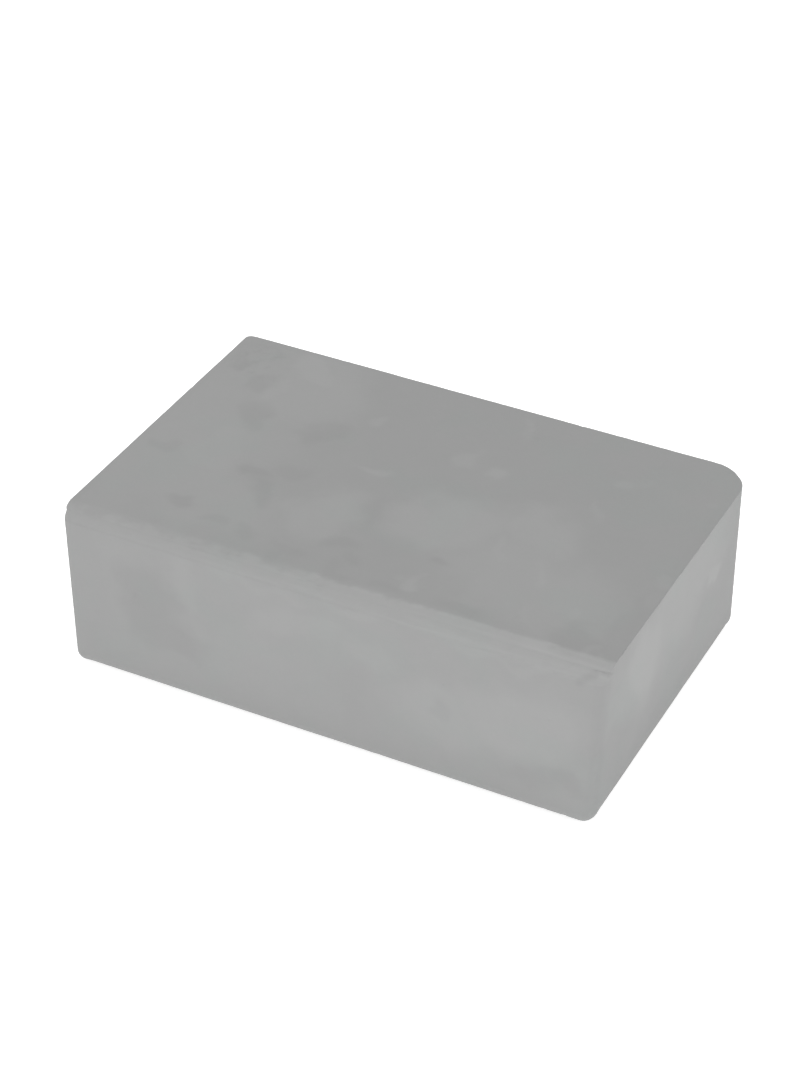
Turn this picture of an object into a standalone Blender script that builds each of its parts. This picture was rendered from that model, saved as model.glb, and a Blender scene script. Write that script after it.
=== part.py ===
"""Gymnastics chalk block: one pressed cake of magnesium carbonate, about 3 x 2 x 1 inches.

The cake stands on its base, and its origin is the middle of the base's outline.
+X runs along the length, +Y across the width to the back, and +Z up through the height.
It is pressed in one piece and holds nothing inside, so it is one solid with no joints.
"""

import math
import random

import bpy
from mathutils import Matrix, Vector

# Driving dimensions, in metres. The length and width are the top's, before its edges wear.
LENGTH = 0.0762
WIDTH = 0.0502
HEIGHT = 0.0250

# How far each side leans in at the base, so that the cake slides out of its mould.
SIDE_DRAFT = 0.0007

# Upright corners, each worn round by a different radius, and the rims round the top and the base.
FRONT_LEFT_RADIUS = 0.0013
FRONT_RIGHT_RADIUS = 0.0016
BACK_LEFT_RADIUS = 0.0014
BACK_RIGHT_RADIUS = 0.0050
TOP_RIM_RADIUS = 0.0005
BASE_RIM_RADIUS = 0.0016
CORNER_SEGMENTS = 8
RIM_SEGMENTS = 4

# Band along the top front edge that rubbing has worn flat: its width on the top and on the front.
BAND_TOP_WIDTH = 0.0025
BAND_FRONT_WIDTH = 0.0020

# Nick knocked out of the top front edge beside the right-hand corner, slanting down to the left.
NICK_LENGTH = 0.0038
NICK_WIDTH = 0.0016
NICK_DEPTH = 0.0005
NICK_INSET = 0.0022
NICK_SLANT = math.radians(40)
NICK_ROUGHNESS = 0.0001
NICK_SUBDIVISIONS = 3

# Shallow patch of the top that has crumbled, near the back left corner.
PATCH_LENGTH = 0.0085
PATCH_WIDTH = 0.0095
PATCH_DEPTH = 0.0004
PATCH_INSET = 0.0060
PATCH_CUTTER_HEIGHT = 0.0030
PATCH_ROUGHNESS = 0.0003
PATCH_SUBDIVISIONS = 4

CRUMBLE_SEED = 7

CHALK_COLOUR = (0.355, 0.360, 0.358, 1.0)
CHALK_ROUGHNESS = 0.95


def clear_scene() -> None:
    """Remove every object that the file opened with."""
    for stale in list(bpy.data.objects):
        bpy.data.objects.remove(stale)


def new_collection(name: str) -> bpy.types.Collection:
    """Make a collection in the scene."""
    collection = bpy.data.collections.new(name)
    bpy.context.scene.collection.children.link(collection)
    return collection


def move_to(thing: bpy.types.Object, collection: bpy.types.Collection) -> None:
    """Keep an object in this collection and in no other."""
    for holder in list(thing.users_collection):
        holder.objects.unlink(thing)
    collection.objects.link(thing)


def chalk_material() -> bpy.types.Material:
    """Make the finish of dry, matt chalk."""
    material = bpy.data.materials.new("chalk")
    material.use_nodes = True
    shader = material.node_tree.nodes["Principled BSDF"]
    shader.inputs["Base Color"].default_value = CHALK_COLOUR
    shader.inputs["Roughness"].default_value = CHALK_ROUGHNESS
    shader.inputs["Metallic"].default_value = 0.0
    return material


def lean_sides(mesh: bpy.types.Mesh) -> None:
    """Draw the base in toward its middle on all four sides."""
    for vertex in mesh.vertices:
        if vertex.co.z < HEIGHT / 2:
            vertex.co.x -= math.copysign(SIDE_DRAFT, vertex.co.x)
            vertex.co.y -= math.copysign(SIDE_DRAFT, vertex.co.y)


def corner_radius(corner: Vector) -> float:
    """Give the radius of the upright edge that passes through this corner."""
    if corner.y > 0:
        return BACK_RIGHT_RADIUS if corner.x > 0 else BACK_LEFT_RADIUS
    return FRONT_RIGHT_RADIUS if corner.x > 0 else FRONT_LEFT_RADIUS


def round_corners(block: bpy.types.Object) -> None:
    """Round each upright edge by its own radius, held in its bevel weight as a share of the widest."""
    mesh = block.data
    weights = mesh.attributes.new("bevel_weight_edge", "FLOAT", "EDGE")
    for weight, edge in zip(weights.data, mesh.edges):
        start, end = [mesh.vertices[index].co for index in edge.vertices]
        upright = abs(start.z - end.z) > HEIGHT / 2
        weight.value = corner_radius(start) / BACK_RIGHT_RADIUS if upright else 0.0
    bevel = block.modifiers.new("round_corners", "BEVEL")
    bevel.limit_method = "WEIGHT"
    bevel.offset_type = "OFFSET"
    bevel.width = BACK_RIGHT_RADIUS
    bevel.segments = CORNER_SEGMENTS


def round_rim(block: bpy.types.Object, name: str, at_top: bool, radius: float) -> None:
    """Round the whole edge of the top or the base."""
    rim = block.vertex_groups.new(name=name)
    corners = [vertex.index for vertex in block.data.vertices if (vertex.co.z > HEIGHT / 2) == at_top]
    rim.add(corners, 1.0, "REPLACE")
    bevel = block.modifiers.new(name, "BEVEL")
    bevel.limit_method = "VGROUP"
    bevel.vertex_group = name
    bevel.offset_type = "OFFSET"
    bevel.width = radius
    bevel.segments = RIM_SEGMENTS


def make_block(collection: bpy.types.Collection) -> bpy.types.Object:
    """Press the cake: a box with drafted sides, round corners and round rims."""
    bpy.ops.mesh.primitive_cube_add(size=1.0)
    block = bpy.context.object
    block.name = "chalk_block"
    size = Matrix.Diagonal((LENGTH, WIDTH, HEIGHT, 1.0))
    block.data.transform(Matrix.Translation((0.0, 0.0, HEIGHT / 2)) @ size)
    lean_sides(block.data)
    round_corners(block)
    round_rim(block, "base_rim", False, BASE_RIM_RADIUS)
    round_rim(block, "top_rim", True, TOP_RIM_RADIUS)
    block.data.materials.append(chalk_material())
    move_to(block, collection)
    return block


def make_cutter(
    name: str, size: Vector, subdivisions: int, roughness: float, collection: bpy.types.Collection
) -> bpy.types.Object:
    """Make a ball of this length, width and height, uneven like crumbled chalk."""
    bpy.ops.mesh.primitive_ico_sphere_add(subdivisions=subdivisions, radius=0.5)
    cutter = bpy.context.object
    cutter.name = name
    cutter.data.transform(Matrix.Diagonal((*size, 1.0)))
    dice = random.Random(CRUMBLE_SEED)
    for vertex in cutter.data.vertices:
        vertex.co.z += dice.uniform(-roughness, roughness)
    cutter.hide_render = True
    cutter.display_type = "WIRE"
    move_to(cutter, collection)
    return cutter


def cut(block: bpy.types.Object, cutter: bpy.types.Object) -> None:
    """Break the cutter's shape out of the block."""
    broken = block.modifiers.new(cutter.name, "BOOLEAN")
    broken.operation = "DIFFERENCE"
    broken.solver = "EXACT"
    broken.object = cutter


def wear_front_band(block: bpy.types.Object, collection: bpy.types.Collection) -> None:
    """Wear the top front edge away to a flat, slanting band."""
    bpy.ops.mesh.primitive_cube_add(size=1.0)
    cutter = bpy.context.object
    cutter.name = "worn_band"
    reach = 2 * math.hypot(BAND_TOP_WIDTH, BAND_FRONT_WIDTH)
    size = Matrix.Diagonal((1.1 * LENGTH, reach, reach, 1.0))
    cutter.data.transform(Matrix.Translation((0.0, 0.0, reach / 2)) @ size)
    outward = Vector((0.0, -BAND_FRONT_WIDTH, BAND_TOP_WIDTH)).normalized()
    cutter.rotation_euler = outward.to_track_quat("Z", "Y").to_euler()
    cutter.location = (0.0, (BAND_TOP_WIDTH - WIDTH) / 2, HEIGHT - BAND_FRONT_WIDTH / 2)
    cutter.hide_render = True
    cutter.display_type = "WIRE"
    move_to(cutter, collection)
    cut(block, cutter)


def cut_corner_nick(block: bpy.types.Object, collection: bpy.types.Collection) -> None:
    """Knock the nick out of the worn band. Its height axis points out of the band."""
    size = Vector((NICK_LENGTH, NICK_WIDTH, NICK_WIDTH))
    cutter = make_cutter("corner_nick", size, NICK_SUBDIVISIONS, NICK_ROUGHNESS, collection)
    cutter.data.transform(Matrix.Rotation(NICK_SLANT, 4, "Z"))
    crest = Vector((LENGTH / 2 - NICK_INSET, (BAND_TOP_WIDTH - WIDTH) / 2, HEIGHT - BAND_FRONT_WIDTH / 2))
    outward = Vector((0.0, -BAND_FRONT_WIDTH, BAND_TOP_WIDTH)).normalized()
    cutter.rotation_euler = outward.to_track_quat("Z", "Y").to_euler()
    cutter.location = crest + outward * (NICK_WIDTH / 2 - NICK_DEPTH)
    cut(block, cutter)


def cut_crumbled_patch(block: bpy.types.Object, collection: bpy.types.Collection) -> None:
    """Crumble the patch out of the top. The ball is wide enough to leave its length and width there."""
    rise = 1 - 2 * PATCH_DEPTH / PATCH_CUTTER_HEIGHT
    spread = 1 / math.sqrt(1 - rise * rise)
    size = Vector((PATCH_LENGTH * spread, PATCH_WIDTH * spread, PATCH_CUTTER_HEIGHT))
    cutter = make_cutter("crumbled_patch", size, PATCH_SUBDIVISIONS, PATCH_ROUGHNESS, collection)
    above = HEIGHT + PATCH_CUTTER_HEIGHT / 2 - PATCH_DEPTH
    cutter.location = (PATCH_INSET - LENGTH / 2, WIDTH / 2 - PATCH_INSET, above)
    cut(block, cutter)


def main() -> None:
    """Build the chalk block."""
    clear_scene()
    parts = new_collection("gymnastics_chalk_block")
    cutters = new_collection("cutters")
    block = make_block(parts)
    wear_front_band(block, cutters)
    cut_corner_nick(block, cutters)
    cut_crumbled_patch(block, cutters)


main()
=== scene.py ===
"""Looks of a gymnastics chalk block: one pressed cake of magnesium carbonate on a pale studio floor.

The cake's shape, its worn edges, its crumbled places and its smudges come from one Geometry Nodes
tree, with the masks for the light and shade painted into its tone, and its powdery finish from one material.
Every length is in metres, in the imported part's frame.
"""

import logging
import math
from dataclasses import dataclass, field
from enum import Enum
from typing import Union

import bpy
from mathutils import Matrix, Vector


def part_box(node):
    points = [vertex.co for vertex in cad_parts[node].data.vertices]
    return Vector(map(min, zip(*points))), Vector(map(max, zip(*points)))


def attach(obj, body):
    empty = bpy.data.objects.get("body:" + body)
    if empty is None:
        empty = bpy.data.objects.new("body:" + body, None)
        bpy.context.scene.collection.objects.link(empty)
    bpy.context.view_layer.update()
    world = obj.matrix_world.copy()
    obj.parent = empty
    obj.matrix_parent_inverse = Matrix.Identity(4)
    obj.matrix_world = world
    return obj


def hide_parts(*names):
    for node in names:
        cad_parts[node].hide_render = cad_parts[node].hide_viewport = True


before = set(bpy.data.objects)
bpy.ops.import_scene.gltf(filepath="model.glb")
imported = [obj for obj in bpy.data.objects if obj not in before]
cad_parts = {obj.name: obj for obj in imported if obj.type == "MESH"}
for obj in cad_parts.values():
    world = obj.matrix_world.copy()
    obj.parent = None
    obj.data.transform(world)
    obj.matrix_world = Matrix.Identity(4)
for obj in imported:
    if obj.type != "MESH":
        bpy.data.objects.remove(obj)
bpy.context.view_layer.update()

MILLIMETRE = 0.001
TINY = 0.000001
SHARPEST = 0.00002

Socket = bpy.types.NodeSocket
Feed = Union[Socket, float, int, str, tuple, Vector]
Feeds = dict[Union[str, int], Feed]
Limits = tuple[float, float]
# How far each point moves, and how much it gives way.
Shift = tuple[Socket, Socket]

logging.basicConfig(level=logging.INFO, format="%(name)s: %(message)s")
log = logging.getLogger("chalk_block_looks")


def mm(*lengths: float) -> Vector:
    """Turn three lengths in millimetres into a vector in metres."""
    return Vector(lengths) * MILLIMETRE


@dataclass(frozen=True)
class Cloud:
    """A pattern of soft noise: a cloud's size in metres, its finer layers and which pattern of many."""

    grain: float
    detail: float = 2.0
    roughness: float = 0.5
    seed: float = 0.0


@dataclass(frozen=True)
class Pits:
    """Small round hollows: at most one in each cell of this size, in metres, and only in some cells.

    A hollow runs from its rim in to its bottom, as shares of a cell, and the limits on chance keep few.
    """

    spacing: float
    seed: float
    rim: float = 0.20
    bottom: float = 0.06
    chance: Limits = (0.66, 0.70)


class Graph:
    """A node tree while it is wired up, with short calls for the nodes used most."""

    def __init__(self, tree: bpy.types.NodeTree) -> None:
        """Start on this tree."""
        self.tree = tree

    def node(self, kind: str, feeds: Feeds | None = None, **settings: object) -> bpy.types.Node:
        """Add a node.

        Args:
            kind: The node's type, by its Blender name.
            feeds: What goes into its sockets, by name or number.
            settings: The node's own properties.

        Returns:
            The new node.
        """
        made = self.tree.nodes.new(kind)
        for name, value in settings.items():
            setattr(made, name, value)
        for name, value in (feeds or {}).items():
            self.feed(made.inputs[name], value)
        return made

    def feed(self, socket: Socket, value: Feed) -> None:
        """Link a socket to another, or give it a constant.

        Args:
            socket: The input socket.
            value: An output socket, or a constant.
        """
        if isinstance(value, Socket):
            self.tree.links.new(value, socket)
        else:
            socket.default_value = value

    def math(self, operation: str, *values: Feed, clamp: bool = False) -> Socket:
        """Work out one number from others.

        Args:
            operation: Blender's name for the operation.
            values: The numbers that go in.
            clamp: Whether the result stays between 0 and 1.

        Returns:
            The result's socket.
        """
        made = self.node("ShaderNodeMath", dict(enumerate(values)), operation=operation)
        made.use_clamp = clamp
        return made.outputs[0]

    def vector(self, operation: str, *values: Feed) -> Socket:
        """Work out one vector from others.

        Args:
            operation: Blender's name for the operation.
            values: The vectors that go in. For SCALE the second is the factor.

        Returns:
            The result's socket, which is a number for LENGTH, DISTANCE and DOT_PRODUCT.
        """
        if operation == "SCALE":
            made = self.node("ShaderNodeVectorMath", {0: values[0], "Scale": values[1]}, operation=operation)
        else:
            made = self.node("ShaderNodeVectorMath", dict(enumerate(values)), operation=operation)
        return made.outputs["Value" if operation in ("LENGTH", "DISTANCE", "DOT_PRODUCT") else "Vector"]

    def split(self, vector: Feed) -> tuple[Socket, Socket, Socket]:
        """Take a vector apart into its three numbers."""
        return tuple(self.node("ShaderNodeSeparateXYZ", {0: vector}).outputs)

    def join(self, x: Feed, y: Feed, z: Feed) -> Socket:
        """Make a vector of three numbers."""
        return self.node("ShaderNodeCombineXYZ", {0: x, 1: y, 2: z}).outputs[0]

    def between(self, start: Feed, end: Feed, share: Feed) -> Socket:
        """Go from one vector to another.

        Args:
            start: The vector where share is 0.
            end: The vector where share is 1.
            share: How far to go, as a number.

        Returns:
            The vector in between.
        """
        way = self.vector("SUBTRACT", end, start)
        return self.vector("MULTIPLY_ADD", way, self.join(share, share, share), start)

    def ramp(self, value: Feed, low: Feed, high: Feed, start: Feed = 0.0, end: Feed = 1.0) -> Socket:
        """Turn smoothly from start to end as a number goes from low to high.

        Args:
            value: The number that drives the turn.
            low: Where the turn begins.
            high: Where the turn ends.
            start: The result below low.
            end: The result above high.

        Returns:
            The result's socket.
        """
        feeds = {"Value": value, "From Min": low, "From Max": high, "To Min": start, "To Max": end}
        return self.node("ShaderNodeMapRange", feeds, interpolation_type="SMOOTHSTEP").outputs["Result"]

    def clouds(self, place: Feed, cloud: Cloud) -> bpy.types.Node:
        """Add a noise texture.

        Args:
            place: The coordinates to read.
            cloud: The pattern.

        Returns:
            The texture's node.
        """
        feeds = {
            "Vector": place,
            "W": cloud.seed,
            "Scale": 1.0 / cloud.grain,
            "Detail": cloud.detail,
            "Roughness": cloud.roughness,
        }
        return self.node("ShaderNodeTexNoise", feeds, noise_dimensions="4D")

    def noise(self, place: Feed, cloud: Cloud) -> Socket:
        """Scatter soft, cloudy numbers around one half."""
        return self.clouds(place, cloud).outputs[0]

    def hollows(self, place: Feed, pits: Pits) -> Socket:
        """Scatter small hollows at random.

        Args:
            place: The coordinates to read.
            pits: The hollows' sizes and pattern.

        Returns:
            How deep each hollow is, from 0 to 1.
        """
        feeds = {"Vector": place, "W": pits.seed, "Scale": 1.0 / pits.spacing}
        made = self.node("ShaderNodeTexVoronoi", feeds, voronoi_dimensions="4D")
        hollow = self.ramp(made.outputs["Distance"], pits.rim, pits.bottom)
        kept = self.ramp(self.split(made.outputs["Color"])[0], *pits.chance)
        return self.math("MULTIPLY", hollow, kept)


class ShapeTree(Graph):
    """A Geometry Nodes tree that makes one piece, with its sizes as named inputs."""

    def __init__(self, name: str) -> None:
        """Start an empty tree with a geometry output.

        Args:
            name: The tree's name.
        """
        super().__init__(bpy.data.node_groups.new(name, "GeometryNodeTree"))
        self.tree.interface.new_socket("Geometry", in_out="OUTPUT", socket_type="NodeSocketGeometry")
        self.inputs = self.node("NodeGroupInput")
        self.values: dict[str, Feed] = {}

    def size(self, name: str, value: Feed) -> Socket:
        """Add a named input.

        Args:
            name: The input's name.
            value: What the modifier gives it: a vector, a whole number or a number.

        Returns:
            The socket that carries it into the tree.
        """
        kinds = {Vector: "NodeSocketVector", int: "NodeSocketInt", float: "NodeSocketFloat"}
        made = self.tree.interface.new_socket(name, in_out="INPUT", socket_type=kinds[type(value)])
        self.values[made.identifier] = value
        return self.inputs.outputs[name]

    def stored(self, name: str) -> Socket:
        """Read a number that an earlier node stored on the mesh's points."""
        made = self.node("GeometryNodeInputNamedAttribute", {"Name": name}, data_type="FLOAT")
        return made.outputs["Attribute"]

    def store(self, geometry: Socket, name: str, value: Socket) -> Socket:
        """Keep a number on each of the mesh's points.

        Args:
            geometry: The mesh.
            name: The attribute's name.
            value: The number.

        Returns:
            The mesh with the attribute.
        """
        feeds = {"Geometry": geometry, "Name": name, "Value": value}
        made = self.node("GeometryNodeStoreNamedAttribute", feeds, data_type="FLOAT", domain="POINT")
        return made.outputs["Geometry"]

    def finish(self, geometry: Socket, material: bpy.types.Material) -> None:
        """End the tree in a smooth, real mesh with its material.

        Args:
            geometry: The mesh so far.
            material: The finish of all its faces.
        """
        smooth = self.node("GeometryNodeSetShadeSmooth", {"Geometry": geometry}).outputs[0]
        real = self.node("GeometryNodeRealizeInstances", {"Geometry": smooth}).outputs[0]
        dressed = self.node("GeometryNodeSetMaterial", {"Geometry": real, "Material": material}).outputs[0]
        self.node("NodeGroupOutput", {0: dressed})

    def grow(self, name: str) -> bpy.types.Object:
        """Run the tree and keep what it makes as a plain mesh.

        Args:
            name: The piece's name.

        Returns:
            The piece, at the origin, with no modifier.
        """
        seedling = bpy.data.objects.new(name + "_seedling", bpy.data.meshes.new(name + "_seedling"))
        bpy.context.scene.collection.objects.link(seedling)
        modifier = seedling.modifiers.new(self.tree.name, "NODES")
        modifier.node_group = self.tree
        for identifier, value in self.values.items():
            modifier[identifier] = value
        grown = seedling.evaluated_get(bpy.context.evaluated_depsgraph_get())
        mesh = bpy.data.meshes.new_from_object(grown)
        mesh.name = name
        bpy.data.objects.remove(seedling)
        piece = bpy.data.objects.new(name, mesh)
        bpy.context.scene.collection.objects.link(piece)
        return piece


class Face(Enum):
    """A face of the cake. Each value is the axis that it faces along and which way."""

    TOP = (2, 1)
    FRONT = (1, -1)
    BACK = (1, 1)
    LEFT = (0, -1)
    RIGHT = (0, 1)


class Level(Enum):
    """One of the cake's two ends in height, by the word that its sizes use."""

    BASE = "base"
    TOP = "top"


@dataclass(frozen=True)
class SmudgeAndLightPatch:
    """A soft, ragged patch drawn paler or darker: some are the chalk's own mottling, some painted light and
    shade.

    Places are in millimetres on its face: along from the left end, or on the ends from the front,
    and up from the base, or on the top from the front. The turn is in degrees, anticlockwise.
    """

    face: Face
    along: float
    up: float
    half_length: float
    half_height: float
    tone: float
    turn: float = 0.0

    def middle(self, size: Vector) -> Vector:
        """Find the patch's middle on a cake of this size.

        Args:
            size: The cake's length, width and height.

        Returns:
            The middle, from the middle of the cake.
        """
        axis, way = self.face.value
        place = mm(self.along, self.along, self.up)
        if self.face is Face.TOP:
            place.y = self.up * MILLIMETRE
        place -= size / 2
        place[axis] = way * size[axis] / 2
        return place

    def directions(self) -> tuple[Vector, Vector]:
        """Find the two directions on the face that the half sizes run along.

        Returns:
            The directions, each divided by its half size.
        """
        axis, _ = self.face.value
        flat = Vector((0.0, 1.0, 0.0)) if axis == 0 else Vector((1.0, 0.0, 0.0))
        steep = Vector((0.0, 1.0, 0.0)) if axis == 2 else Vector((0.0, 0.0, 1.0))
        angle = math.radians(self.turn)
        along = math.cos(angle) * flat + math.sin(angle) * steep
        across = math.cos(angle) * steep - math.sin(angle) * flat
        return along / (self.half_length * MILLIMETRE), across / (self.half_height * MILLIMETRE)


def smudges_and_light_patches() -> list[SmudgeAndLightPatch]:
    """List the patches of paler and darker tone: the chalk's own mottling, and painted light and shade.

    Returns:
        The patches, face by face.
    """
    top = [
        # Painted light: this broad patch pales the left part of the top.
        SmudgeAndLightPatch(Face.TOP, 6.0, 25.0, 14.0, 26.0, 0.050),
        SmudgeAndLightPatch(Face.TOP, 15.0, 40.0, 9.0, 12.0, 0.055),
        SmudgeAndLightPatch(Face.TOP, 16.0, 10.0, 12.5, 8.0, 0.050),
        SmudgeAndLightPatch(Face.TOP, 13.5, 44.5, 5.5, 3.5, 0.085, -15.0),
        SmudgeAndLightPatch(Face.TOP, 11.5, 38.0, 1.8, 3.5, 0.075),
        SmudgeAndLightPatch(Face.TOP, 11.0, 22.0, 4.5, 6.5, 0.066),
        SmudgeAndLightPatch(Face.TOP, 31.0, 14.0, 5.0, 5.5, 0.065),
        SmudgeAndLightPatch(Face.TOP, 43.5, 19.5, 5.3, 6.0, 0.068),
        SmudgeAndLightPatch(Face.TOP, 48.0, 20.8, 5.0, 5.5, 0.068, -20.0),
        SmudgeAndLightPatch(Face.TOP, 57.0, 22.5, 6.0, 5.6, 0.064),
        SmudgeAndLightPatch(Face.TOP, 60.0, 12.0, 14.0, 8.0, 0.055, -18.0),
        SmudgeAndLightPatch(Face.TOP, 27.6, 36.4, 1.6, 1.3, 0.050),
        SmudgeAndLightPatch(Face.TOP, 31.7, 26.2, 2.6, 1.0, 0.058, 15.0),
        SmudgeAndLightPatch(Face.TOP, 40.9, 34.0, 2.2, 1.1, 0.046, -50.0),
        SmudgeAndLightPatch(Face.TOP, 46.3, 32.7, 1.8, 1.5, 0.058),
        SmudgeAndLightPatch(Face.TOP, 45.0, 44.5, 2.6, 0.9, 0.035, -65.0),
        SmudgeAndLightPatch(Face.TOP, 53.6, 16.2, 3.2, 0.9, 0.076, -62.0),
        SmudgeAndLightPatch(Face.TOP, 59.7, 15.0, 4.0, 1.0, 0.080, -65.0),
        SmudgeAndLightPatch(Face.TOP, 61.8, 7.0, 2.8, 0.9, 0.070, -60.0),
        SmudgeAndLightPatch(Face.TOP, 47.5, 6.6, 1.8, 1.0, 0.066, -50.0),
        SmudgeAndLightPatch(Face.TOP, 68.0, 8.5, 2.4, 1.2, 0.070, -60.0),
        SmudgeAndLightPatch(Face.TOP, 62.3, 32.0, 2.2, 0.8, 0.034, -55.0),
        SmudgeAndLightPatch(Face.TOP, 64.3, 40.4, 1.4, 1.1, 0.036),
        SmudgeAndLightPatch(Face.TOP, 72.0, 38.2, 0.9, 0.8, 0.026),
        SmudgeAndLightPatch(Face.TOP, 74.3, 20.6, 1.4, 1.0, 0.034, -60.0),
        SmudgeAndLightPatch(Face.TOP, 75.0, 17.5, 1.6, 0.9, 0.030, -60.0),
        SmudgeAndLightPatch(Face.TOP, 74.2, 4.4, 0.9, 0.9, 0.055),
        SmudgeAndLightPatch(Face.TOP, 12.5, 31.4, 2.4, 3.6, -0.060, 15.0),
        SmudgeAndLightPatch(Face.TOP, 18.8, 20.7, 2.5, 1.9, -0.060),
        SmudgeAndLightPatch(Face.TOP, 22.6, 30.5, 2.2, 3.0, -0.042),
        SmudgeAndLightPatch(Face.TOP, 23.5, 23.2, 2.4, 2.0, -0.030),
        SmudgeAndLightPatch(Face.TOP, 22.0, 15.0, 4.6, 1.6, -0.056, -58.0),
        SmudgeAndLightPatch(Face.TOP, 3.8, 20.4, 2.0, 1.5, -0.042),
        SmudgeAndLightPatch(Face.TOP, 12.9, 8.5, 2.2, 1.7, -0.068),
        SmudgeAndLightPatch(Face.TOP, 35.5, 10.0, 2.0, 1.9, -0.040),
        SmudgeAndLightPatch(Face.TOP, 38.8, 7.8, 1.6, 1.4, -0.030),
        SmudgeAndLightPatch(Face.TOP, 36.4, 16.8, 1.4, 3.8, -0.022, -10.0),
        SmudgeAndLightPatch(Face.TOP, 47.7, 11.2, 1.6, 1.4, -0.058),
        SmudgeAndLightPatch(Face.TOP, 43.3, 22.9, 1.4, 1.3, -0.025),
        SmudgeAndLightPatch(Face.TOP, 8.5, 38.3, 2.0, 1.5, -0.045),
        # Painted shade: this row of darker patches, 4 to 5 mm from the front, darkens the top along the
        # band's crease and into the tip.
        SmudgeAndLightPatch(Face.TOP, 18.4, 5.4, 2.2, 1.2, -0.045),
        SmudgeAndLightPatch(Face.TOP, 23.5, 5.2, 1.8, 1.4, -0.045),
        SmudgeAndLightPatch(Face.TOP, 30.0, 5.0, 2.4, 1.1, -0.030),
        SmudgeAndLightPatch(Face.TOP, 37.5, 4.6, 2.2, 1.2, -0.028),
        SmudgeAndLightPatch(Face.TOP, 45.0, 4.4, 2.4, 1.2, -0.032),
        SmudgeAndLightPatch(Face.TOP, 55.0, 4.2, 3.4, 0.9, -0.032),
        SmudgeAndLightPatch(Face.TOP, 71.0, 4.6, 5.0, 2.0, -0.050),
        # Painted shade: these two darken the top along its right-hand rim.
        SmudgeAndLightPatch(Face.TOP, 75.0, 12.0, 1.8, 11.0, -0.024),
        SmudgeAndLightPatch(Face.TOP, 75.8, 36.0, 1.6, 16.0, -0.010),
    ]
    front = [
        SmudgeAndLightPatch(Face.FRONT, 12.8, 14.0, 4.8, 7.0, -0.062),
        SmudgeAndLightPatch(Face.FRONT, 17.5, 9.6, 4.8, 2.4, -0.052),
        # Painted shade: this one darkens the left end of the front.
        SmudgeAndLightPatch(Face.FRONT, 3.0, 13.0, 5.0, 12.0, -0.020),
        SmudgeAndLightPatch(Face.FRONT, 18.4, 18.0, 1.7, 3.8, 0.028),
        SmudgeAndLightPatch(Face.FRONT, 27.0, 10.0, 7.0, 5.0, 0.012),
        SmudgeAndLightPatch(Face.FRONT, 34.0, 17.8, 6.5, 2.0, 0.028, 8.0),
        SmudgeAndLightPatch(Face.FRONT, 44.0, 16.5, 4.0, 2.6, 0.030, -30.0),
        # Painted light: these two pale the right part of the front.
        SmudgeAndLightPatch(Face.FRONT, 54.5, 10.2, 6.5, 5.2, 0.050),
        SmudgeAndLightPatch(Face.FRONT, 66.0, 13.2, 9.0, 5.4, 0.055, 8.0),
        # Painted highlight: these four thin pale lines run along the band's lower crest.
        SmudgeAndLightPatch(Face.FRONT, 42.5, 23.0, 5.5, 0.7, 0.034),
        SmudgeAndLightPatch(Face.FRONT, 65.5, 22.6, 4.5, 0.7, 0.028, 3.0),
        SmudgeAndLightPatch(Face.FRONT, 58.5, 22.3, 4.0, 0.7, 0.025),
        SmudgeAndLightPatch(Face.FRONT, 28.0, 22.5, 8.0, 1.0, 0.020),
        SmudgeAndLightPatch(Face.FRONT, 54.4, 10.0, 1.7, 1.7, -0.036),
        SmudgeAndLightPatch(Face.FRONT, 70.6, 6.3, 3.4, 1.7, -0.045),
        SmudgeAndLightPatch(Face.FRONT, 66.2, 4.4, 4.0, 1.6, -0.036),
        SmudgeAndLightPatch(Face.FRONT, 42.0, 9.5, 3.0, 4.0, -0.018),
        # Painted shade: darker along the base.
        SmudgeAndLightPatch(Face.FRONT, 38.0, 1.5, 45.0, 2.2, -0.006),
    ]
    right = [
        # Painted light and shade on the right end: a broad painted highlight across its middle, and painted
        # shade lower down and along the base.
        SmudgeAndLightPatch(Face.RIGHT, 21.5, 20.0, 18.0, 9.0, 0.080, 8.0),
        SmudgeAndLightPatch(Face.RIGHT, 15.0, 18.5, 9.0, 6.5, 0.118, -50.0),
        SmudgeAndLightPatch(Face.RIGHT, 35.5, 16.2, 3.8, 1.6, 0.095, -30.0),
        SmudgeAndLightPatch(Face.RIGHT, 5.0, 8.0, 6.0, 5.5, -0.020),
        SmudgeAndLightPatch(Face.RIGHT, 25.0, 1.5, 28.0, 4.0, -0.025),
    ]
    unseen = [
        SmudgeAndLightPatch(Face.BACK, 20.0, 14.0, 9.0, 6.0, 0.050),
        SmudgeAndLightPatch(Face.BACK, 46.0, 11.0, 7.0, 8.0, -0.045),
        SmudgeAndLightPatch(Face.BACK, 62.0, 16.0, 8.0, 5.0, 0.045),
        SmudgeAndLightPatch(Face.LEFT, 14.0, 13.0, 7.0, 6.0, 0.050),
        SmudgeAndLightPatch(Face.LEFT, 34.0, 10.0, 8.0, 6.0, -0.040),
    ]
    return top + front + right + unseen


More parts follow.
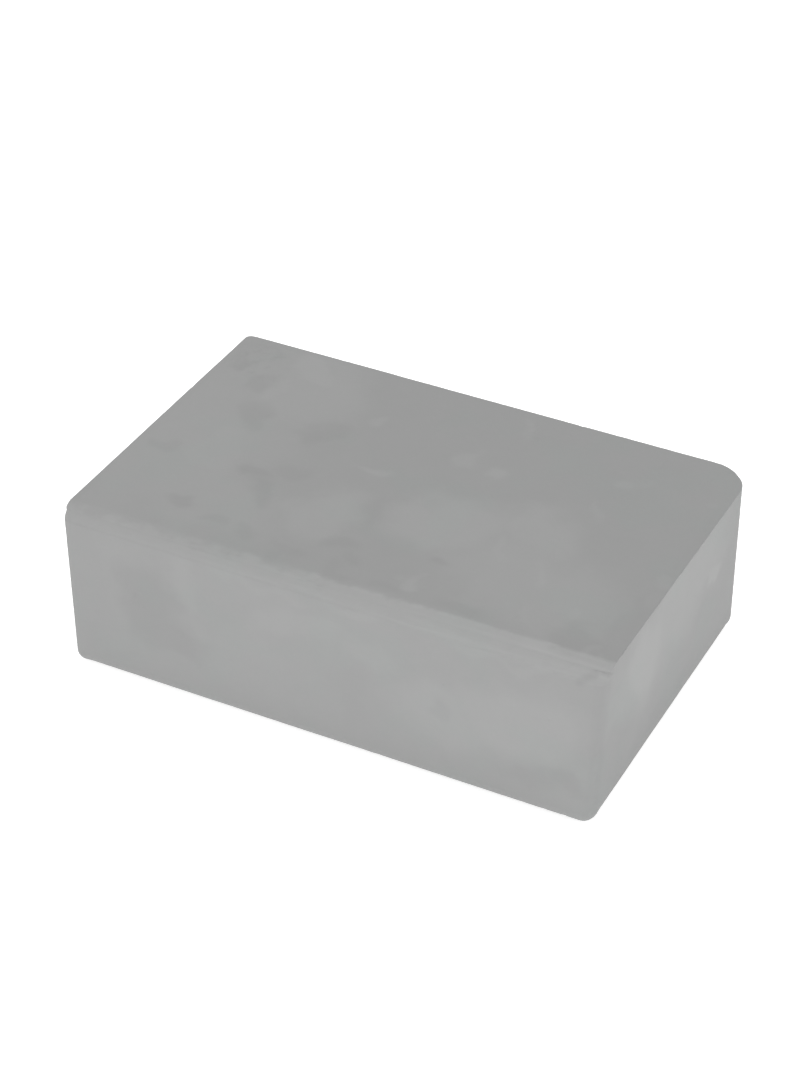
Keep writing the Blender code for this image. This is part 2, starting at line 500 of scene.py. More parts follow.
@dataclass
class PressedCake:
    """The cake: a drafted box with worn corners and rims, a worn front band, a nick and a crumbled patch."""

    size: Vector
    draft: float = 0.0007
    spacing: float = 0.00040
    edge_crowding: float = 0.2
    band_left: float = 0.0025
    band_right: float = 0.0031
    band_drop: float = 0.0020
    band_power_left: float = 1.45
    band_power_right: float = 1.25
    # How much of a point's giving way counts as full wear, and as being on the band at all.
    wear_gain: float = 3.0
    band_from: float = 0.003
    # Unevenness, from broad to fine: how deep each is, and its pattern.
    sway: float = 0.00010
    sway_cloud: Cloud = Cloud(0.022, 1.0, seed=3.0)
    powder: float = 0.00005
    powder_cloud: Cloud = Cloud(0.0032, 3.0, 0.6, 5.0)
    grain: float = 0.00002
    grain_cloud: Cloud = Cloud(0.0011, 2.0, 0.6, 7.0)
    # Crumbs lost from worn edges.
    edge_crumble: float = 0.00006
    crumb_cloud: Cloud = Cloud(0.0016, 3.0, 0.65, 9.0)
    crumb_limits: Limits = (0.5, 0.75)
    edge_limits: Limits = (0.1, 0.6)
    pit_depth: float = 0.00008
    pits: Pits = Pits(0.0034, 11.0)
    # The nick's ends lie from the top front right corner, and the patch's middle from the top back left.
    nick_depth: float = 0.00002
    nick_upper: Vector = field(default_factory=lambda: mm(-1.9, 0.9, -0.9))
    nick_lower: Vector = field(default_factory=lambda: mm(-3.6, 0.1, -2.4))
    nick_reach: float = 0.0009
    nick_fraying: float = 0.0006
    nick_cloud: Cloud = Cloud(0.0012, 2.0, 0.6, 13.0)
    patch_depth: float = 0.00014
    patch_middle: Vector = field(default_factory=lambda: mm(5.0, -6.8, 0.0))
    patch_reach: Vector = field(default_factory=lambda: mm(5.6, 7.0, 1.5))
    patch_limits: Limits = (1.0, 0.35)
    flake_cloud: Cloud = Cloud(0.0018, 3.0, 0.6, 17.0)
    flake_limits: Limits = (0.46, 0.62)
    # How much painted shade each kind of hollow gets. The nick gets it fully.
    pit_shade: float = 0.4
    patch_shade: float = 0.7
    crumb_shade: float = 0.4
    # Where a patch of smudge or painted light fades, in half sizes from its middle, and as the surface turns
    # to another face.
    smudge_and_light_fade: Limits = (1.4, 0.5)
    facing_limits: Limits = (0.72, 0.96)
    # Patterns that make the outlines of the smudges and painted light patches stray, each with how far.
    strays: tuple[tuple[Cloud, float], ...] = (
        (Cloud(0.0100, 1.0, seed=19.0), 0.0090),
        (Cloud(0.0036, 1.0, seed=23.0), 0.0042),
        (Cloud(0.0013, 1.0, seed=29.0), 0.0010),
    )
    # Painted light on the band, by how far up the surface faces. Pairs for an end of the band are for left
    # and right.
    band_light_start: Limits = (-0.1, 0.4)
    bare_from: Limits = (0.96, 0.990)
    pale_from: Limits = (0.80, 0.93)
    band_light_ends: Limits = (0.50, 1.0)
    fray_cloud: Cloud = Cloud(0.0022, 3.0, 0.6, 31.0)
    fray_left: float = 0.6
    fray_right: float = 0.08
    # How far each upright corner is rounded along X and Y.
    corners: dict[str, Vector] = field(
        default_factory=lambda: {
            "base front left": mm(0.9, 0.9, 0.0),
            "base front right": mm(1.8, 1.8, 0.0),
            "base back left": mm(1.2, 1.2, 0.0),
            "base back right": mm(1.6, 1.6, 0.0),
            "top front left": mm(1.3, 1.3, 0.0),
            "top front right": mm(2.0, 2.0, 0.0),
            "top back left": mm(1.5, 1.5, 0.0),
            "top back right": mm(5.7, 6.6, 0.0),
        }
    )
    # The radius of the rim along each side.
    rims: dict[str, float] = field(
        default_factory=lambda: {
            "top left": 0.00050,
            "top right": 0.00012,
            "top front": 0.00005,
            "top back": 0.00100,
            "base left": 0.0020,
            "base right": 0.0028,
            "base front": 0.0020,
            "base back": 0.0012,
        }
    )

    def build(self, material: bpy.types.Material) -> bpy.types.Object:
        """Make the cake.

        Args:
            material: Its finish.

        Returns:
            The piece that stands for the CAD block.
        """
        tree = ShapeTree("pressed_cake")
        half = tree.size("Half size", self.size / 2)
        shape = self.moulded(tree, half)
        shape = self.crumbled(tree, shape, half)
        shape = self.paint_smudges_and_light(tree, shape)
        tree.finish(shape, material)
        cake = tree.grow("pressed_chalk_cake")
        self.fit_to_box(cake)
        return cake

    def moulded(self, tree: ShapeTree, half: Socket) -> Socket:
        """Shape a fine box into the cake: its band, its corners, its rims and its draft.

        Args:
            tree: The tree to add to.
            half: Half of the cake's size.

        Returns:
            The cake, with how worn each point is stored as edge_wear, and the band as band.
        """
        feeds: Feeds = {"Size": tree.vector("SCALE", half, 2.0)}
        for axis, length in zip("XYZ", self.size):
            feeds[f"Vertices {axis}"] = tree.size(f"Points along {axis}", int(length / self.spacing))
        box = tree.node("GeometryNodeMeshCube", feeds).outputs["Mesh"]

        # Rows of points crowd together toward the edges, where the shape turns.
        crowding = tree.size("Edge crowding", self.edge_crowding)
        share = tree.vector("DIVIDE", tree.node("GeometryNodeInputPosition").outputs[0], half)
        square = tree.vector("MULTIPLY", share, share)
        fifth = tree.vector("MULTIPLY", tree.vector("MULTIPLY", square, square), share)
        spread = tree.vector("SCALE", share, tree.math("ADD", 1.0, crowding))
        share = tree.vector("SUBTRACT", spread, tree.vector("SCALE", fifth, crowding))
        place = tree.vector("MULTIPLY", share, half)

        radii = self.blend_corners(tree, share)
        corner_shift, corner = self.round_corners(tree, radii, place, half)
        rounded = tree.vector("ADD", place, corner_shift)
        band_shift, band = self.worn_band(tree, share, rounded, half)
        top_shift, top = self.round_rim(tree, Level.TOP, radii, place, half)
        base_shift, base = self.round_rim(tree, Level.BASE, radii, place, half)
        for shift in (band_shift, corner_shift, top_shift, base_shift):
            place = tree.vector("ADD", place, shift)

        worn = tree.math("ADD", tree.math("ADD", band, corner), tree.math("ADD", top, base))
        box = tree.store(box, "edge_wear", tree.math("MULTIPLY", worn, self.wear_gain, clamp=True))
        box = tree.store(box, "band", tree.ramp(band, 0.0, self.band_from))
        feeds = {"Geometry": box, "Position": self.leaned(tree, place, half)}
        return tree.node("GeometryNodeSetPosition", feeds).outputs[0]

    def rounding(self, tree: ShapeTree, first: Socket, second: Socket, power: Feed = 2.0) -> Socket:
        """Work out how much a square edge gives way to round it.

        Args:
            tree: The tree to add to.
            first: How near the point is to the edge on one side, from 0 to 1.
            second: How near it is on the other side.
            power: The curve's power: 2 for round, nearly 1 for a flat bevel.

        Returns:
            The share of the way back to the curve's start.
        """
        total = tree.math("ADD", tree.math("POWER", first, power), tree.math("POWER", second, power))
        # The tiny share keeps a point that is near neither side where it is.
        reach = tree.math("ADD", tree.math("POWER", total, tree.math("DIVIDE", 1.0, power)), TINY)
        nearest = tree.math("ADD", tree.math("MAXIMUM", first, second), TINY)
        return tree.math("SUBTRACT", 1.0, tree.math("DIVIDE", nearest, reach))

    def nearness(self, tree: ShapeTree, distance: Socket, reach: Feed) -> Socket:
        """Go from 0 to 1 as a distance falls from reach to nothing."""
        return tree.math("SUBTRACT", 1.0, tree.math("DIVIDE", distance, reach), clamp=True)

    def worn_band(self, tree: ShapeTree, share: Socket, place: Socket, half: Socket) -> Shift:
        """Rub the top front edge down to a slanting band that widens to the right.

        Args:
            tree: The tree to add to.
            share: Each point's place, from -1 to 1 along each axis.
            place: Each point's place.
            half: Half of the cake's size.

        Returns:
            How far each point moves, and how much it gives way.
        """
        across, _, _ = tree.split(share)
        left = tree.size("Band width left", self.band_left)
        right = tree.size("Band width right", self.band_right)
        middle = tree.math("MULTIPLY", tree.math("ADD", left, right), 0.5)
        growth = tree.math("MULTIPLY", tree.math("SUBTRACT", right, left), 0.5)
        width = tree.math("MULTIPLY_ADD", across, growth, middle)
        drop = tree.size("Band drop", self.band_drop)
        _, from_front, _ = tree.split(tree.vector("ADD", place, half))
        _, _, from_top = tree.split(tree.vector("SUBTRACT", half, place))
        front = self.nearness(tree, from_front, width)
        top = self.nearness(tree, from_top, drop)
        powers = [
            tree.size("Band power left", self.band_power_left),
            tree.size("Band power right", self.band_power_right),
        ]
        power = tree.ramp(across, -1.0, 1.0, powers[0], powers[1])
        give = self.rounding(tree, front, top, power)
        back = tree.math("MULTIPLY", tree.math("MULTIPLY", width, front), give)
        down = tree.math("MULTIPLY", tree.math("MULTIPLY", drop, top), tree.math("MULTIPLY", give, -1.0))
        return tree.join(0.0, back, down), give

    def round_corners(self, tree: ShapeTree, radii: Socket, place: Socket, half: Socket) -> Shift:
        """Round the four upright corners, each by its own radii at the top and at the base.

        Args:
            tree: The tree to add to.
            radii: How far a corner there is rounded along X and Y.
            place: Each point's place.
            half: Half of the cake's size.

        Returns:
            How far each point moves, and how much it gives way.
        """
        steps = self.beyond(tree, radii, place, half)
        steps = [tree.math("DIVIDE", step, radius) for step, radius in zip(steps, tree.split(radii))]
        give = self.rounding(tree, steps[0], steps[1])
        moves = []
        for step, radius, sign in zip(steps, tree.split(radii), tree.split(tree.vector("SIGN", place))):
            inward = tree.math("MULTIPLY", sign, tree.math("MULTIPLY", give, -1.0))
            moves.append(tree.math("MULTIPLY", tree.math("MULTIPLY", radius, step), inward))
        return tree.join(moves[0], moves[1], 0.0), give

    def beyond(self, tree: ShapeTree, inset: Socket, place: Socket, half: Socket) -> list[Socket]:
        """Measure how far each point is beyond the sides' insets.

        Args:
            tree: The tree to add to.
            inset: How far in from the sides to start, along X and Y.
            place: Each point's place.
            half: Half of the cake's size.

        Returns:
            The distance along X and along Y, or nothing for a point further in.
        """
        start = tree.vector("SUBTRACT", half, inset)
        past = tree.vector("SUBTRACT", tree.vector("ABSOLUTE", place), start)
        x, y, _ = tree.split(tree.vector("MAXIMUM", past, (0.0, 0.0, 0.0)))
        return [x, y]

    def blend_corners(self, tree: ShapeTree, share: Socket) -> Socket:
        """Blend the eight corners' radii over the whole cake.

        Args:
            tree: The tree to add to.
            share: The place, from -1 to 1 along each axis.

        Returns:
            How far a corner there is rounded along X and Y.
        """
        x, y, z = tree.split(tree.vector("MULTIPLY_ADD", share, (0.5, 0.5, 0.5), (0.5, 0.5, 0.5)))
        levels = []
        for level in (Level.BASE, Level.TOP):
            rows = []
            for row in ("front", "back"):
                names = [f"{level.value} {row} {end}" for end in ("left", "right")]
                ends = [tree.size(f"Corner {name}", self.corners[name]) for name in names]
                rows.append(tree.between(ends[0], ends[1], x))
            levels.append(tree.between(rows[0], rows[1], y))
        return tree.between(levels[0], levels[1], z)

    def round_rim(self, tree: ShapeTree, level: Level, radii: Socket, place: Socket, half: Socket) -> Shift:
        """Round the edge all round the top or the base.

        Args:
            tree: The tree to add to.
            level: Which of the two: top or base.
            radii: How far a corner there is rounded along X and Y.
            place: Each point's place.
            half: Half of the cake's size.

        Returns:
            How far each point moves, and how much it gives way.
        """
        x, y, z = tree.split(place)
        widest = max(rim for name, rim in self.rims.items() if name.startswith(level.value))
        inset = tree.vector("MAXIMUM", radii, (widest, widest, 0.0))
        steps = self.beyond(tree, inset, place, half)
        length = tree.math("MAXIMUM", tree.vector("LENGTH", tree.join(steps[0], steps[1], 0.0)), TINY)
        outward = [tree.math("DIVIDE", step, length) for step in steps]
        radius: Feed = 0.0
        for part, coordinate, sides in zip(outward, (x, y), (("left", "right"), ("front", "back"))):
            names = [f"{level.value} {side}" for side in sides]
            ends = [tree.size(f"Rim {name}", self.rims[name]) for name in names]
            feeds = {0: tree.math("GREATER_THAN", coordinate, 0.0), 1: ends[0], 2: ends[1]}
            chosen = tree.node("GeometryNodeSwitch", feeds, input_type="FLOAT").outputs[0]
            radius = tree.math("MULTIPLY_ADD", tree.math("MULTIPLY", part, part), chosen, radius)
        radius = tree.math("MAXIMUM", radius, SHARPEST)
        x_in, y_in, z_in = tree.split(tree.vector("SUBTRACT", half, tree.vector("ABSOLUTE", place)))
        side = self.nearness(tree, tree.math("MINIMUM", x_in, y_in), radius)
        over = tree.math("GREATER_THAN" if level is Level.TOP else "LESS_THAN", z, 0.0)
        flat = tree.math("MULTIPLY", self.nearness(tree, z_in, radius), over)
        give = tree.math("MULTIPLY", self.rounding(tree, side, flat), over)
        pull = tree.math("MULTIPLY", radius, tree.math("MULTIPLY", give, -1.0))
        inward = tree.math("MULTIPLY", side, pull)
        fall = tree.math("MULTIPLY", flat, pull)
        plan = [tree.math("MULTIPLY", inward, part) for part in outward]
        return tree.vector("MULTIPLY", tree.join(plan[0], plan[1], fall), tree.vector("SIGN", place)), give

    def leaned(self, tree: ShapeTree, place: Socket, half: Socket) -> Socket:
        """Lean all four sides in toward the base.

        Args:
            tree: The tree to add to.
            place: Each point's place.
            half: Half of the cake's size.

        Returns:
            Each point's new place.
        """
        _, _, share = tree.split(tree.vector("DIVIDE", place, half))
        lowness = tree.math("MULTIPLY_ADD", share, -0.5, 0.5)
        draft = tree.math("MULTIPLY", tree.size("Draft", self.draft), lowness)
        inward = tree.vector("DIVIDE", tree.join(draft, draft, 0.0), half)
        return tree.vector("SUBTRACT", place, tree.vector("MULTIPLY", place, inward))

    def crumbled(self, tree: ShapeTree, shape: Socket, half: Socket) -> Socket:
        """Press unevenness, grain, pits, the nick and the crumbled patch into the surface.

        Args:
            tree: The tree to add to.
            shape: The rounded cake.
            half: Half of the cake's size.

        Returns:
            The uneven cake, with the painted shade of its hollows stored on its points.
        """
        place = tree.node("GeometryNodeInputPosition").outputs[0]
        edge = tree.ramp(tree.stored("edge_wear"), *self.edge_limits)
        flecks = tree.ramp(tree.noise(place, self.crumb_cloud), *self.crumb_limits)
        crumbs = tree.math("MULTIPLY", flecks, edge)
        pits = tree.hollows(place, self.pits)
        nick = self.nick(tree, place, half)
        patch = self.patch(tree, place, half)

        depth: Feed = 0.0
        for name, pattern, deepest in (
            ("Sway", tree.noise(place, self.sway_cloud), self.sway),
            ("Powder", tree.noise(place, self.powder_cloud), self.powder),
            ("Grain", tree.noise(place, self.grain_cloud), self.grain),
            ("Edge crumble", crumbs, self.edge_crumble),
            ("Pit depth", pits, self.pit_depth),
            ("Nick depth", nick, self.nick_depth),
            ("Patch depth", patch, self.patch_depth),
        ):
            depth = tree.math("ADD", depth, tree.math("MULTIPLY", pattern, tree.size(name, deepest)))

        # Painted shade in the hollows: the pits, the nick, the crumbled patch and the crumbled edges.
        pit_and_nick_shade = tree.math("ADD", tree.math("MULTIPLY", pits, self.pit_shade), nick)
        shade_with_patch = tree.math("MULTIPLY_ADD", patch, self.patch_shade, pit_and_nick_shade)
        painted_hollow_shade = tree.math("MULTIPLY_ADD", crumbs, self.crumb_shade, shade_with_patch, clamp=True)
        shape = tree.store(shape, "painted_hollow_shade", painted_hollow_shade)
        normal = tree.node("GeometryNodeInputNormal").outputs[0]
        offset = tree.vector("SCALE", normal, tree.math("MULTIPLY", depth, -1.0))
        return tree.node("GeometryNodeSetPosition", {"Geometry": shape, "Offset": offset}).outputs[0]

    def nick(self, tree: ShapeTree, place: Socket, half: Socket) -> Socket:
        """Shape the nick that slants down across the band, beside its right-hand end.

        Args:
            tree: The tree to add to.
            place: Each point's place.
            half: Half of the cake's size.

        Returns:
            How deep the nick is, from 0 to 1.
        """
        corner = tree.vector("MULTIPLY", half, (1.0, -1.0, 1.0))
        upper = tree.vector("ADD", corner, tree.size("Nick upper end", self.nick_upper))
        lower = tree.vector("ADD", corner, tree.size("Nick lower end", self.nick_lower))
        along = tree.vector("SUBTRACT", lower, upper)
        across = tree.vector("SUBTRACT", place, upper)
        reached = tree.vector("DOT_PRODUCT", across, along)
        share = tree.math("DIVIDE", reached, tree.vector("DOT_PRODUCT", along, along), clamp=True)
        gap = tree.vector("DISTANCE", across, tree.vector("SCALE", along, share))
        cloud = tree.noise(place, self.nick_cloud)
        frayed = tree.math("MULTIPLY_ADD", cloud, self.nick_fraying, -self.nick_fraying / 2)
        return tree.ramp(tree.math("ADD", gap, frayed), self.nick_reach, 0.0)

    def patch(self, tree: ShapeTree, place: Socket, half: Socket) -> Socket:
        """Shape the crumbled patch on the top, near the back left corner.

        Args:
            tree: The tree to add to.
            place: Each point's place.
            half: Half of the cake's size.

        Returns:
            How deep the crumbling is, from 0 to 1.
        """
        corner = tree.vector("MULTIPLY", half, (-1.0, 1.0, 1.0))
        middle = tree.vector("ADD", corner, tree.size("Patch middle", self.patch_middle))
        reach = tree.size("Patch reach", self.patch_reach)
        radius = tree.vector("LENGTH", tree.vector("DIVIDE", tree.vector("SUBTRACT", place, middle), reach))
        inside = tree.ramp(radius, *self.patch_limits)
        flakes = tree.ramp(tree.noise(place, self.flake_cloud), *self.flake_limits)
        return tree.math("MULTIPLY", inside, flakes)

    def paint_smudges_and_light(self, tree: ShapeTree, shape: Socket) -> Socket:
        """Store how much paler or darker each point is drawn: the chalk's own mottling, with painted light
        and shade.

        Args:
            tree: The tree to add to.
            shape: The cake.

        Returns:
            The cake, with that tone and the band's painted light stored on its points.
        """
        facing = tree.node("GeometryNodeInputNormal").outputs[0]
        place = self.wandering(tree)
        paler: Feed = 0.0
        darker: Feed = 0.0
        for smudge_and_painted_light in smudges_and_light_patches():
            axis, way = smudge_and_painted_light.face.value
            away = tree.vector("SUBTRACT", place, smudge_and_painted_light.middle(self.size))
            parts = [tree.vector("DOT_PRODUCT", away, direction) for direction in smudge_and_painted_light.directions()]
            radius = tree.vector("LENGTH", tree.join(parts[0], parts[1], 0.0))
            toward = tree.math("MULTIPLY", tree.split(facing)[axis], float(way))
            tone = tree.math("MULTIPLY", tree.ramp(toward, *self.facing_limits), smudge_and_painted_light.tone)
            mark = tree.math("MULTIPLY", tree.ramp(radius, *self.smudge_and_light_fade), tone)
            if smudge_and_painted_light.tone > 0:
                paler = tree.math("MAXIMUM", paler, mark)
            else:
                darker = tree.math("MINIMUM", darker, mark)
        # The patches hold the chalk's own mottling and painted light and shade in one tone.
        shape = tree.store(shape, "smudge_and_painted_light", tree.math("ADD", paler, darker))
        # How much painted light pales the band.
        return tree.store(shape, "band_light_and_rub", self.band_light_and_rub(tree, facing))

    def wandering(self, tree: ShapeTree) -> Socket:
        """Move each point's place about, so that outlines read there are ragged.

        Args:
            tree: The tree to add to.

        Returns:
            The moved place, which only the smudges and painted light patches read.
        """
        place = tree.node("GeometryNodeInputPosition").outputs[0]
        moved = place
        for cloud, stray in self.strays:
            centred = tree.vector("SUBTRACT", tree.clouds(place, cloud).outputs["Color"], (0.5, 0.5, 0.5))
            moved = tree.vector("ADD", moved, tree.vector("SCALE", centred, stray))
        return moved

    def band_light_and_rub(self, tree: ShapeTree, facing: Socket) -> Socket:
        """Work out how much painted light pales the band: less at its left end, and with a frayed upper
        edge.

        Args:
            tree: The tree to add to.
            facing: Which way each point faces.

        Returns:
            The share, from 0 to 1.
        """
        place = tree.node("GeometryNodeInputPosition").outputs[0]
        ends = [-self.size.x / 2, self.size.x / 2]
        across, _, _ = tree.split(place)
        _, _, upward = tree.split(facing)
        frays = [tree.size("Fray left", self.fray_left), tree.size("Fray right", self.fray_right)]
        fray = tree.ramp(across, *ends, *frays)
        loose = tree.math("SUBTRACT", tree.noise(place, self.fray_cloud), 0.5)
        frayed = tree.math("MULTIPLY_ADD", loose, fray, upward)
        bare = tree.ramp(across, *ends, *self.bare_from)
        pale = tree.ramp(across, *ends, *self.pale_from)
        share = tree.math("MULTIPLY", tree.ramp(upward, *self.band_light_start), tree.ramp(frayed, bare, pale))
        share = tree.math("MULTIPLY", share, tree.ramp(across, *ends, *self.band_light_ends))
        return tree.math("MULTIPLY", share, tree.stored("band"))

    def fit_to_box(self, cake: bpy.types.Object) -> None:
        """Stretch the cake by what little is left, to the CAD block's own box.

        Args:
            cake: The cake.
        """
        low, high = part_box("chalk_block")
        corners = [vertex.co for vertex in cake.data.vertices]
        start = Vector([min(corner[axis] for corner in corners) for axis in range(3)])
        end = Vector([max(corner[axis] for corner in corners) for axis in range(3)])
        scale = [(high[axis] - low[axis]) / (end[axis] - start[axis]) for axis in range(3)]
        log.info("stretched by %.4f, %.4f and %.4f", *scale)
        stretch = Matrix.Translation(low) @ Matrix.Diagonal((*scale, 1.0))
        cake.data.transform(stretch @ Matrix.Translation(-start))


@dataclass(frozen=True)
class ChalkFinish:
    """Dry pressed chalk: matt, cloudy grey and grainy, with smudges that hold painted light and shade,
    painted light on its band and painted shade in its hollows.
    """

    grey: tuple[float, float, float] = (0.3095, 0.3105, 0.3095)
    cool_tint: tuple[float, float, float] = (0.990, 1.004, 0.998)
    roughness: float = 0.93
    specular: float = 0.15
    roughness_spread: float = 0.12
    handled_cloud: Cloud = Cloud(0.006, 3.0, 0.6, 6.0)
    # Clouds of tone, from broad to fine, each with its strength.
    tone_clouds: tuple[tuple[Cloud, float], ...] = (
        (Cloud(0.014, 3.0, 0.55, 1.0), 0.03),
        (Cloud(0.0035, 3.0, 0.6, 2.0), 0.035),
        (Cloud(0.0005, 2.0, 0.7, 3.0), 0.03),
    )
    cool_cloud: Cloud = Cloud(0.009, 2.0, seed=4.0)
    cool_limits: Limits = (0.5, 0.62)
    # Painted shade in the hollows.
    hollow_shade_strength: float = 0.075
    # The band's painted light, and the pale lines drawn out along it: painted highlights, partly rub marks.
    band_painted_light: float = 0.125
    band_streak_highlight: float = 0.05
    streak_squeeze: tuple[float, float, float] = (0.06, 1.0, 1.0)
    streak_cloud: Cloud = Cloud(0.0007, 2.0, 0.5, 21.0)
    streak_limits: Limits = (0.45, 0.75)
    # The powder's own relief.
    fine_grain: Cloud = Cloud(0.00032, 3.0, 0.65, 8.0)
    coarse_grain: Cloud = Cloud(0.0012, 2.0, 0.6, 9.0)
    pores: Pits = Pits(0.0013, 10.0, rim=0.16, chance=(0.7, 0.74))
    fine_height: float = 0.35
    coarse_height: float = 0.5
    pore_depth: float = 0.5
    relief_strength: float = 0.4
    relief_distance: float = 0.0001

    def material(self) -> bpy.types.Material:
        """Make the material.

        Returns:
            The chalk's material.
        """
        made = bpy.data.materials.new("pressed_chalk")
        made.use_nodes = True
        made.node_tree.nodes.clear()
        graph = Graph(made.node_tree)
        place = graph.node("ShaderNodeTexCoord").outputs["Object"]
        shader = graph.node("ShaderNodeBsdfPrincipled")
        shader.inputs["Specular IOR Level"].default_value = self.specular
        graph.feed(shader.inputs["Base Color"], self.colour(graph, place))
        graph.feed(shader.inputs["Roughness"], self.dryness(graph, place))
        graph.feed(shader.inputs["Normal"], self.relief(graph, place))
        graph.node("ShaderNodeOutputMaterial", {"Surface": shader.outputs[0]})
        return made

    def attribute(self, graph: Graph, name: str) -> Socket:
        """Read a number stored on the cake's points."""
        return graph.node("ShaderNodeAttribute", attribute_name=name).outputs["Fac"]

    def colour(self, graph: Graph, place: Socket) -> Socket:
        """Cloud and speckle the grey, add the smudges with their painted light and shade, and paint shade in
        the hollows and light on the band.

        Args:
            graph: The material's graph.
            place: The coordinates to read.

        Returns:
            The colour's socket.
        """
        # The patches' tone: the chalk's mottling together with painted light and shade.
        tone = graph.math("ADD", 1.0, self.attribute(graph, "smudge_and_painted_light"))
        for cloud, amount in self.tone_clouds:
            shade = graph.math("MULTIPLY_ADD", graph.noise(place, cloud), amount, -amount / 2)
            tone = graph.math("ADD", tone, shade)
        # Painted shade in the nick, the pits, the crumbled patch and the crumbled edges.
        tone = graph.math("MULTIPLY_ADD", self.attribute(graph, "painted_hollow_shade"), -self.hollow_shade_strength, tone)
        # Painted light on the band, with its painted highlight streaks.
        tone = graph.math("MULTIPLY_ADD", self.attribute(graph, "band_light_and_rub"), self.band_light_and_streaks(graph, place), tone)
        cool = graph.ramp(graph.noise(place, self.cool_cloud), *self.cool_limits)
        tint = graph.between((1.0, 1.0, 1.0), self.cool_tint, cool)
        return graph.vector("SCALE", graph.vector("MULTIPLY", self.grey, tint), tone)

    def band_light_and_streaks(self, graph: Graph, place: Socket) -> Socket:
        """Paint light on the band, with fine pale lines along it: painted highlights, partly rub marks.

        Args:
            graph: The material's graph.
            place: The coordinates to read.

        Returns:
            How much paler the band is.
        """
        drawn_out = graph.vector("MULTIPLY", place, self.streak_squeeze)
        lines = graph.ramp(graph.noise(drawn_out, self.streak_cloud), *self.streak_limits)
        return graph.math("MULTIPLY_ADD", lines, self.band_streak_highlight, self.band_painted_light)

    def dryness(self, graph: Graph, place: Socket) -> Socket:
        """Vary the roughness a little, so that handled places are smoother.

        Args:
            graph: The material's graph.
            place: The coordinates to read.

        Returns:
            The roughness's socket.
        """
        cloud = graph.noise(place, self.handled_cloud)
        smoothest = self.roughness - self.roughness_spread / 2
        return graph.math("MULTIPLY_ADD", cloud, self.roughness_spread, smoothest, clamp=True)

    def relief(self, graph: Graph, place: Socket) -> Socket:
        """Raise the powder's own grain and sink its pores.

        Args:
            graph: The material's graph.
            place: The coordinates to read.

        Returns:
            The bumped normal's socket.
        """
        fine = graph.math("MULTIPLY", graph.noise(place, self.fine_grain), self.fine_height)
        coarse = graph.math("MULTIPLY", graph.noise(place, self.coarse_grain), self.coarse_height)
        pores = graph.math("MULTIPLY", graph.hollows(place, self.pores), self.pore_depth)
        height = graph.math("SUBTRACT", graph.math("ADD", fine, coarse), pores)
        feeds = {"Strength": self.relief_strength, "Distance": self.relief_distance, "Height": height}
        return graph.node("ShaderNodeBump", feeds).outputs[0]


@dataclass(frozen=True)
class Softbox:
    """A square soft light: its name, where it hangs, its side and its power in watts."""

    name: str
    place: tuple[float, float, float]
    side: float
    power: float


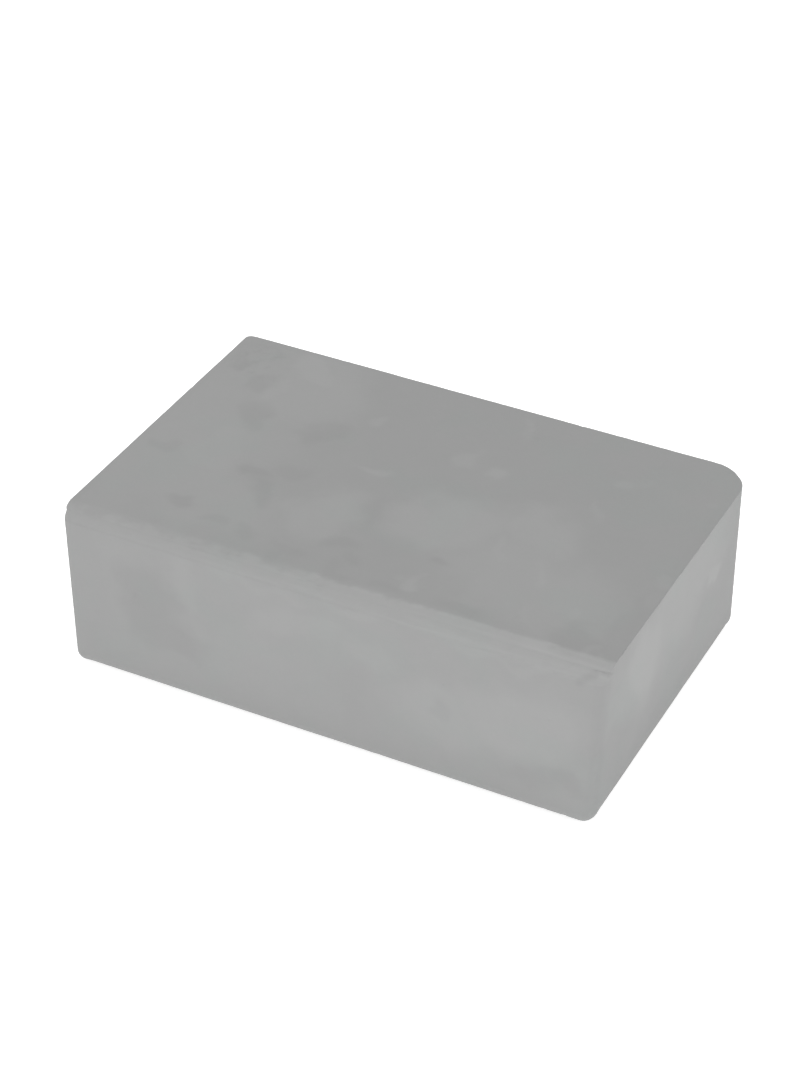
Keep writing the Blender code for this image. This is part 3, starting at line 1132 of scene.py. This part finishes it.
@dataclass
class Studio:
    """The pale floor, the soft lights and the camera."""

    floor_half: float = 3.0
    floor_white: float = 0.85
    floor_glow: float = 0.58
    air_glow: float = 0.6
    softboxes: tuple[Softbox, ...] = (
        Softbox("front_softbox", (-0.20, -0.75, 0.30), 0.5, 1.6),
        Softbox("right_softbox", (0.75, 0.25, 0.30), 0.5, 1.5),
        Softbox("top_softbox", (-0.1, 0.1, 0.8), 0.7, 2.4),
    )
    nearest: float = 0.01
    lens: float = 92.645
    sensor: float = 36.0
    azimuth: float = math.radians(25.749)
    elevation: float = math.radians(34.739)
    roll: float = math.radians(1.220)
    eye: Vector = field(default_factory=lambda: Vector((0.13078, -0.27451, 0.22682)))

    def floor(self) -> bpy.types.Object:
        """Lay the floor.

        Returns:
            The floor.
        """
        bpy.ops.mesh.primitive_plane_add(size=2 * self.floor_half)
        made = bpy.context.object
        made.name = "studio_floor"
        made.data.materials.append(self.floor_finish())
        return made

    def floor_finish(self) -> bpy.types.Material:
        """Make the floor's matt white, lifted a little by its own glow.

        Returns:
            The floor's material.
        """
        made = bpy.data.materials.new("studio_white")
        made.use_nodes = True
        shader = made.node_tree.nodes["Principled BSDF"]
        white = (self.floor_white, self.floor_white, self.floor_white, 1.0)
        shader.inputs["Base Color"].default_value = white
        shader.inputs["Roughness"].default_value = 1.0
        shader.inputs["Specular IOR Level"].default_value = 0.0
        shader.inputs["Emission Color"].default_value = (1.0, 1.0, 1.0, 1.0)
        shader.inputs["Emission Strength"].default_value = self.floor_glow
        return made

    def sky(self) -> None:
        """Fill the room with an even white."""
        world = bpy.data.worlds.new("studio_air")
        world.use_nodes = True
        background = world.node_tree.nodes["Background"]
        background.inputs["Color"].default_value = (1.0, 1.0, 1.0, 1.0)
        background.inputs["Strength"].default_value = self.air_glow
        bpy.context.scene.world = world

    def hang(self, softbox: Softbox) -> bpy.types.Object:
        """Hang a soft light that faces the block.

        Args:
            softbox: The light's sizes.

        Returns:
            The light.
        """
        lamp = bpy.data.lights.new(softbox.name, "AREA")
        lamp.size = softbox.side
        lamp.energy = softbox.power
        made = bpy.data.objects.new(softbox.name, lamp)
        made.location = softbox.place
        made.rotation_euler = Vector(softbox.place).to_track_quat("Z", "Y").to_euler()
        made.visible_camera = False
        bpy.context.scene.collection.objects.link(made)
        return made

    def camera(self) -> bpy.types.Object:
        """Stand the camera in front, to the right and above.

        Returns:
            The scene's camera.
        """
        lens = bpy.data.cameras.new("studio_camera")
        lens.lens = self.lens
        lens.sensor_width = self.sensor
        lens.clip_start = self.nearest
        made = bpy.data.objects.new("studio_camera", lens)
        turn = Matrix.Rotation(self.azimuth, 4, "Z") @ Matrix.Rotation(math.pi / 2 - self.elevation, 4, "X")
        made.matrix_world = Matrix.Translation(self.eye) @ turn @ Matrix.Rotation(self.roll, 4, "Z")
        bpy.context.scene.collection.objects.link(made)
        bpy.context.scene.camera = made
        return made

    def build(self) -> None:
        """Set up the whole studio."""
        self.floor()
        self.sky()
        for softbox in self.softboxes:
            self.hang(softbox)
        self.camera()
        bpy.context.scene.view_settings.view_transform = "Standard"


def main() -> None:
    """Build the chalk block and the studio around it."""
    Studio().build()
    low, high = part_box("chalk_block")
    cake = PressedCake(size=high - low).build(ChalkFinish().material())
    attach(cake, "root")
    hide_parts("chalk_block")
    log.info("%s: %d faces", cake.name, len(cake.data.polygons))


if __name__ == "__main__":
    main()
